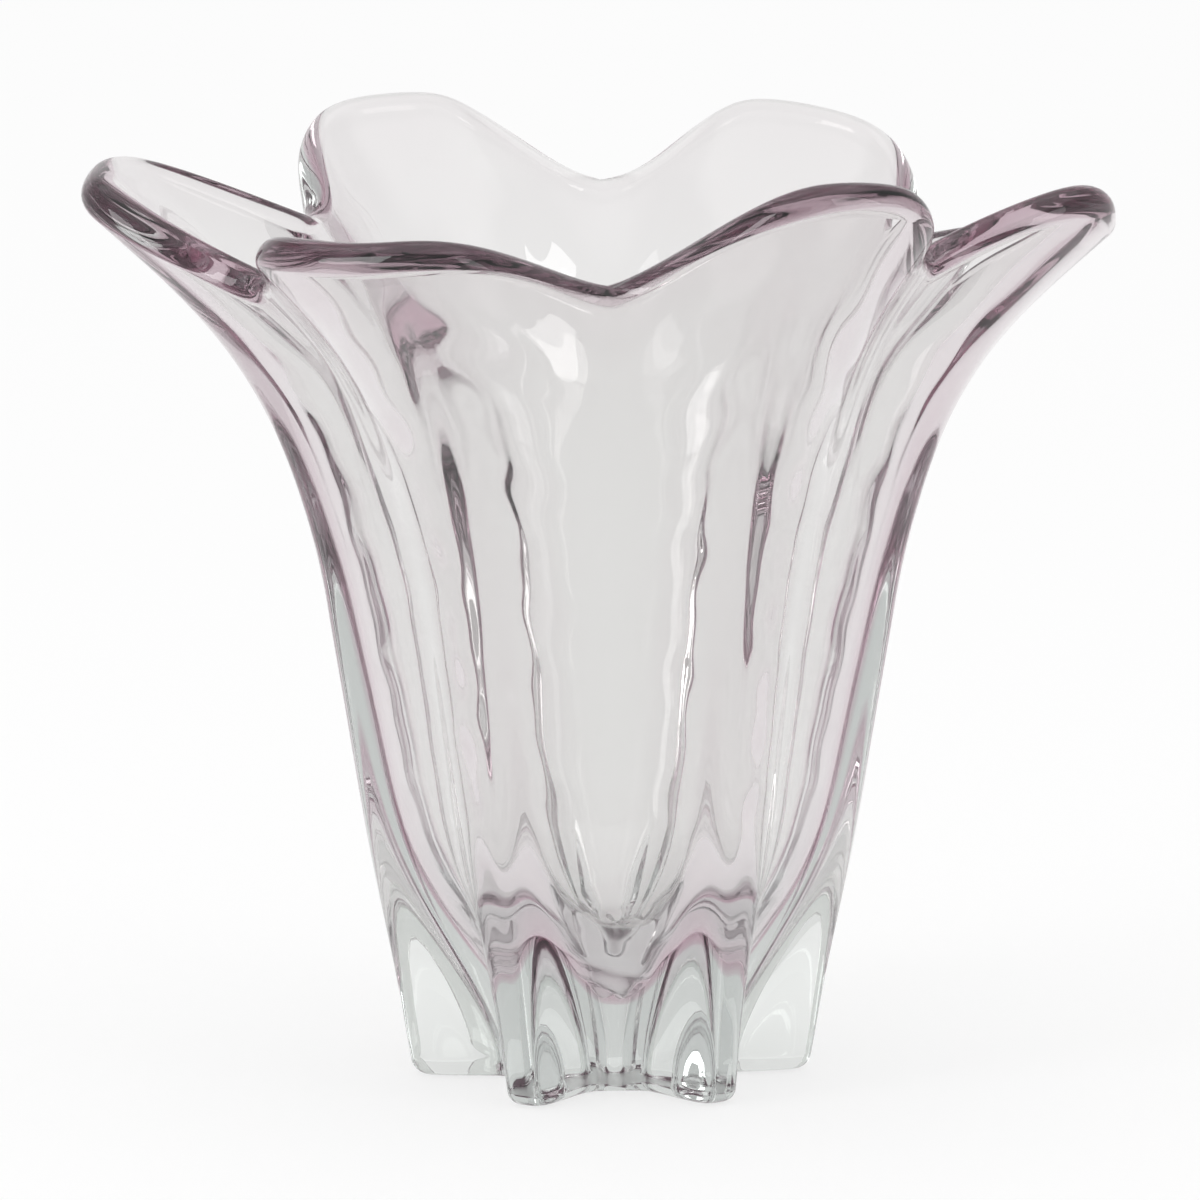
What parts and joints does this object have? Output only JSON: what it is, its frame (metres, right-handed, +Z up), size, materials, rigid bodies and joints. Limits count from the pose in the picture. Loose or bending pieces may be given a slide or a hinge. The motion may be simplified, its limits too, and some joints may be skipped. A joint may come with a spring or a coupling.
{
  "type": "flower vase",
  "caption": "Heavy ribbed glass vase with a flared wavy petal mouth, a solid star-shaped foot and a tinted inner layer cased in clear glass, for cut flowers.",
  "frame": {"origin": "middle of the flat sole, on the vase's axis, at the level it stands on", "axes": "+Z up along the axis, +X towards one of the petals, -Y towards the dip that faces the viewer"},
  "size_m": [0.279, 0.2527, 0.2599],
  "materials": {
    "clear_glass": "fire-polished clear glass with a faint grey-green tint",
    "lilac_glass": "fire-polished pale lilac glass"
  },
  "bodies": {
    "root": {"clear_casing": "clear_glass", "lilac_lining": "lilac_glass"}
  },
  "joints": []
}
